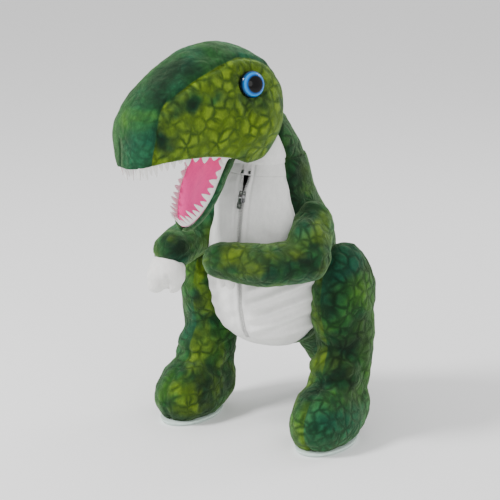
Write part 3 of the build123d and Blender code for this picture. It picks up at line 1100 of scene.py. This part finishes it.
right_root = trunk_point(-72, -28, 279)
right_elbow = trunk_point(-88, -56, 244)
right_end = trunk_point(-82, -108, 240)
bm = bmesh.new()
add_ball(bm, right_root, (23, 24, 26))
add_taper(bm, right_root, right_elbow, 26, 26)
add_ball(bm, trunk_point(-84, -48, 257), (23, 27, 33))
add_taper(bm, right_elbow, right_end, 26, 25)
make_arm("right", bm, trunk_point(-70, -70, 262), Vector((0, -0.3, 1)), right_end)


def make_hand(name, spread, root, drop, width, nodes, body):
    """A white mitten with two short rounded claws."""
    bm = bmesh.new()
    add_ball(bm, root, (width, width * 0.8, width * 0.85))
    for side in (-1, 1):
        tip = root + drop + spread * (side * width * 0.44 * MM)
        middle = root + drop * 0.45 + spread * (side * width * 0.42 * MM)
        add_taper(bm, middle, tip, width * 0.60, width * 0.47)
        add_ball(bm, middle, (width * 0.6, width * 0.6, width * 0.6))
    across = spread.normalized()

    def move(co):
        below = smoothstep(-2, 8, (root - co).dot(Vector((0, 0, 1))) / MM)
        return rumple(co, 14, 0.7, 2) + below * groove((co - root).dot(across) / MM, 1.8, 4.0)

    piece = stuffed(name, bm, body, nodes, 1.8, 6, move)
    piece.data.materials.append(hand_plush)


make_hand("right_mitten", Vector((0.85, 0.53, 0)), trunk_point(-82, -120, 218),
          Vector((-0.001, -0.005, -0.018)), 24, ("right_hand",), "right_arm")
make_hand("left_mitten", Vector((0.9, 0.1, 0)), trunk_point(-4, -110, 222),
          Vector((0.001, 0.002, -0.014)), 13, ("left_hand",), "left_arm")

# %% [markdown]
# A leg is a tall thigh, a creased ankle and a big foot that is stuffed hard. A seam
# runs down the middle of the foot to the toe, and a pale sole closes it below.


# %% Legs
foot_out = 101


def make_leg(name, side):
    bm = bmesh.new()
    add_ball(bm, trunk_point(side * 97, 4, 176), (38, 50, 74))
    add_ball(bm, trunk_point(side * 99, 8, 140), (37, 44, 52))
    add_taper(bm, trunk_point(side * 99, 8, 130), trunk_point(side * 100, 4, 78), 38, 33)
    add_ball(bm, trunk_point(side * 100, -4, 42), (38, 38, 46))
    add_ball(bm, trunk_point(side * foot_out, -36, 38), (41, 62, 46))
    add_ball(bm, trunk_point(side * foot_out, -56, 34), (38, 46, 40))
    add_ball(bm, trunk_point(side * foot_out, -38, 27), (39, 60, 32))
    add_ball(bm, trunk_point(side * 100, -18, 84), (35, 32, 40))

    def move(co):
        x = (co.x - trunk_origin.x) / MM * side - foot_out
        y = (co.y - trunk_origin.y) / MM
        z = co.z / MM
        pull = rumple(co, 34, 2.2, 5 + side) + rumple(co, 13, 0.6, 1)
        front = smoothstep(-8, -26, y) * smoothstep(98, 86, z)
        pull += groove(x + 0.06 * (z - 60), 2.2, 2.6) * front
        ankle = smoothstep(20, -30, y)
        pull += groove(z - 96 - 0.25 * y, 4.0, 3.4) * ankle
        pull += groove(z - 112 - 0.12 * y, 5.0, 1.6) * ankle
        pull += groove(z - 84, 3.0, 1.0) * smoothstep(10, 30, y)
        seam = smoothstep(205, 225, z)
        pull += groove(y - 20, 2.4, 1.8) * seam * smoothstep(-20, 5, x)
        return pull

    nodes = (f"{name}_leg_skin", f"{name}_leg_stuffing", f"{name}_foot_pellets")
    piece = stuffed(f"{name}_leg_plush", bm, None, (), 3.4, 14, move)
    flatten(piece, 3.0)
    trim_inner(piece, side)
    dress(piece, f"{name}_leg", nodes)
    piece.data.materials.append(leg_plush)
    mark_seam(piece, lambda co: (co.x - trunk_origin.x) / MM * side - foot_out + 0.06 * (co.z / MM - 60))
    sole_at(name, side)


def flatten(piece, height):
    """Presses whatever is below a height on to it, as a sole does."""
    for vert in piece.data.vertices:
        if vert.co.z < height * MM:
            vert.co.z = height * MM


def trim_inner(piece, side):
    """Keeps the leg from sinking into the trunk beside it."""
    limit, soft = 55.5, 6
    for vert in piece.data.vertices:
        x = (vert.co.x - trunk_origin.x) / MM * side
        if x < limit + soft:
            over = limit + soft - x
            vert.co.x += side * (over - soft * (1 - math.exp(-over / soft))) * MM


def sole_at(name, side):
    bm = bmesh.new()
    made = bmesh.ops.create_circle(bm, cap_ends=True, segments=72, radius=1)
    size = Matrix.Diagonal((32 * MM, 52 * MM, 1, 1))
    place = Matrix.Translation(trunk_point(side * foot_out, -40, 0.3)) @ size
    bmesh.ops.transform(bm, matrix=place, verts=made["verts"])
    grown = bmesh.ops.extrude_face_region(bm, geom=list(bm.faces))
    top = [g for g in grown["geom"] if isinstance(g, bmesh.types.BMVert)]
    bmesh.ops.translate(bm, vec=(0, 0, 5 * MM), verts=top)
    middle = trunk_point(side * foot_out, -40, 0)
    for vert in top:
        vert.co.x += (vert.co.x - middle.x) * 0.06
        vert.co.y += (vert.co.y - middle.y) * 0.06
    bmesh.ops.recalc_face_normals(bm, faces=bm.faces)
    piece = finish_piece(f"{name}_sole_pad", bm, f"{name}_leg", (f"{name}_foot_sole",),
                         smooth=False)
    round_edge = piece.modifiers.new("Rolled edge", "BEVEL")
    round_edge.width = 1.5 * MM
    round_edge.segments = 3
    apply_modifiers(piece)
    piece.data.materials.append(sole_plush)


for name, side in (("left", 1), ("right", -1)):
    make_leg(name, side)

# %% [markdown]
# The tail is a stuffed cone that props the toy from behind.

# %% Tail
bm = bmesh.new()
tail_spots = [trunk_point(0, y, z) for y, z in ((62, 150), (104, 98), (138, 50), (165, 16.5))]
add_ball(bm, tail_spots[0], (37, 37, 37))
for start, end, r0, r1 in zip(tail_spots, tail_spots[1:], (37, 30, 22), (30, 22, 15.5)):
    add_taper(bm, start, end, r0, r1)


def tail_move(co):
    x = (co.x - trunk_origin.x) / MM
    return rumple(co, 30, 1.2, 8) + groove(x, 2.2, 1.6)


tail = stuffed("tail_plush", bm, None, (), 3.2, 10, tail_move)
flatten(tail, 0.4)
dress(tail, "tail", ("tail_skin", "tail_stuffing"))
tail.data.materials.append(body_plush)

# %% [markdown]
# The camera stands at the toy's front left, a little above it, with a long lens.
# The floor and the air are pale, and the strongest soft light is up at the camera's left.

# %% Floor, lights and camera
floor_mesh = bpy.data.meshes.new("floor")
bm = bmesh.new()
bmesh.ops.create_grid(bm, x_segments=1, y_segments=1, size=12)
bm.to_mesh(floor_mesh)
bm.free()
floor = bpy.data.objects.new("floor", floor_mesh)
bpy.context.scene.collection.objects.link(floor)
paper, tree, shader = shader_material("paper")
shader.inputs["Base Color"].default_value = (0.93, 0.93, 0.93, 1)
shader.inputs["Roughness"].default_value = 0.9
floor_mesh.materials.append(paper)

world = bpy.data.worlds.new("air")
bpy.context.scene.world = world
world.use_nodes = True
world.node_tree.nodes["Background"].inputs["Color"].default_value = (1.0, 1.0, 1.0, 1)
world.node_tree.nodes["Background"].inputs["Strength"].default_value = 1.0


def soft_light(name, place, target, size, power):
    lamp = bpy.data.lights.new(name, "AREA")
    lamp.shape = "DISK"
    lamp.size = size
    lamp.energy = power
    item = bpy.data.objects.new(name, lamp)
    item.location = place
    item.rotation_euler = (Vector(target) - Vector(place)).to_track_quat("-Z", "Y").to_euler()
    bpy.context.scene.collection.objects.link(item)


middle = (0, 0, 0.25)
soft_light("key", (-1.0, -1.4, 1.9), middle, 0.6, 62)
soft_light("fill", (1.9, -1.2, 1.0), middle, 1.2, 9)
soft_light("rim", (0.6, 1.6, 1.5), middle, 0.8, 10)

azimuth, elevation = math.radians(32), math.radians(15)
distance = 2.2
view_width = 0.633
sensor = 36
across = Vector((math.cos(azimuth), math.sin(azimuth), 0))
level = Vector((math.sin(azimuth), -math.cos(azimuth), 0)) * math.cos(elevation)
toward = level + Vector((0, 0, math.sin(elevation)))
aim = trunk_origin + across * -0.031 + Vector((0, 0, 0.227))
lens = bpy.data.cameras.new("camera")
lens.sensor_width = sensor
lens.lens = sensor * distance / view_width
camera = bpy.data.objects.new("camera", lens)
camera.location = aim + toward * distance
camera.rotation_euler = (-toward).to_track_quat("-Z", "Y").to_euler()
bpy.context.scene.collection.objects.link(camera)
bpy.context.scene.camera = camera
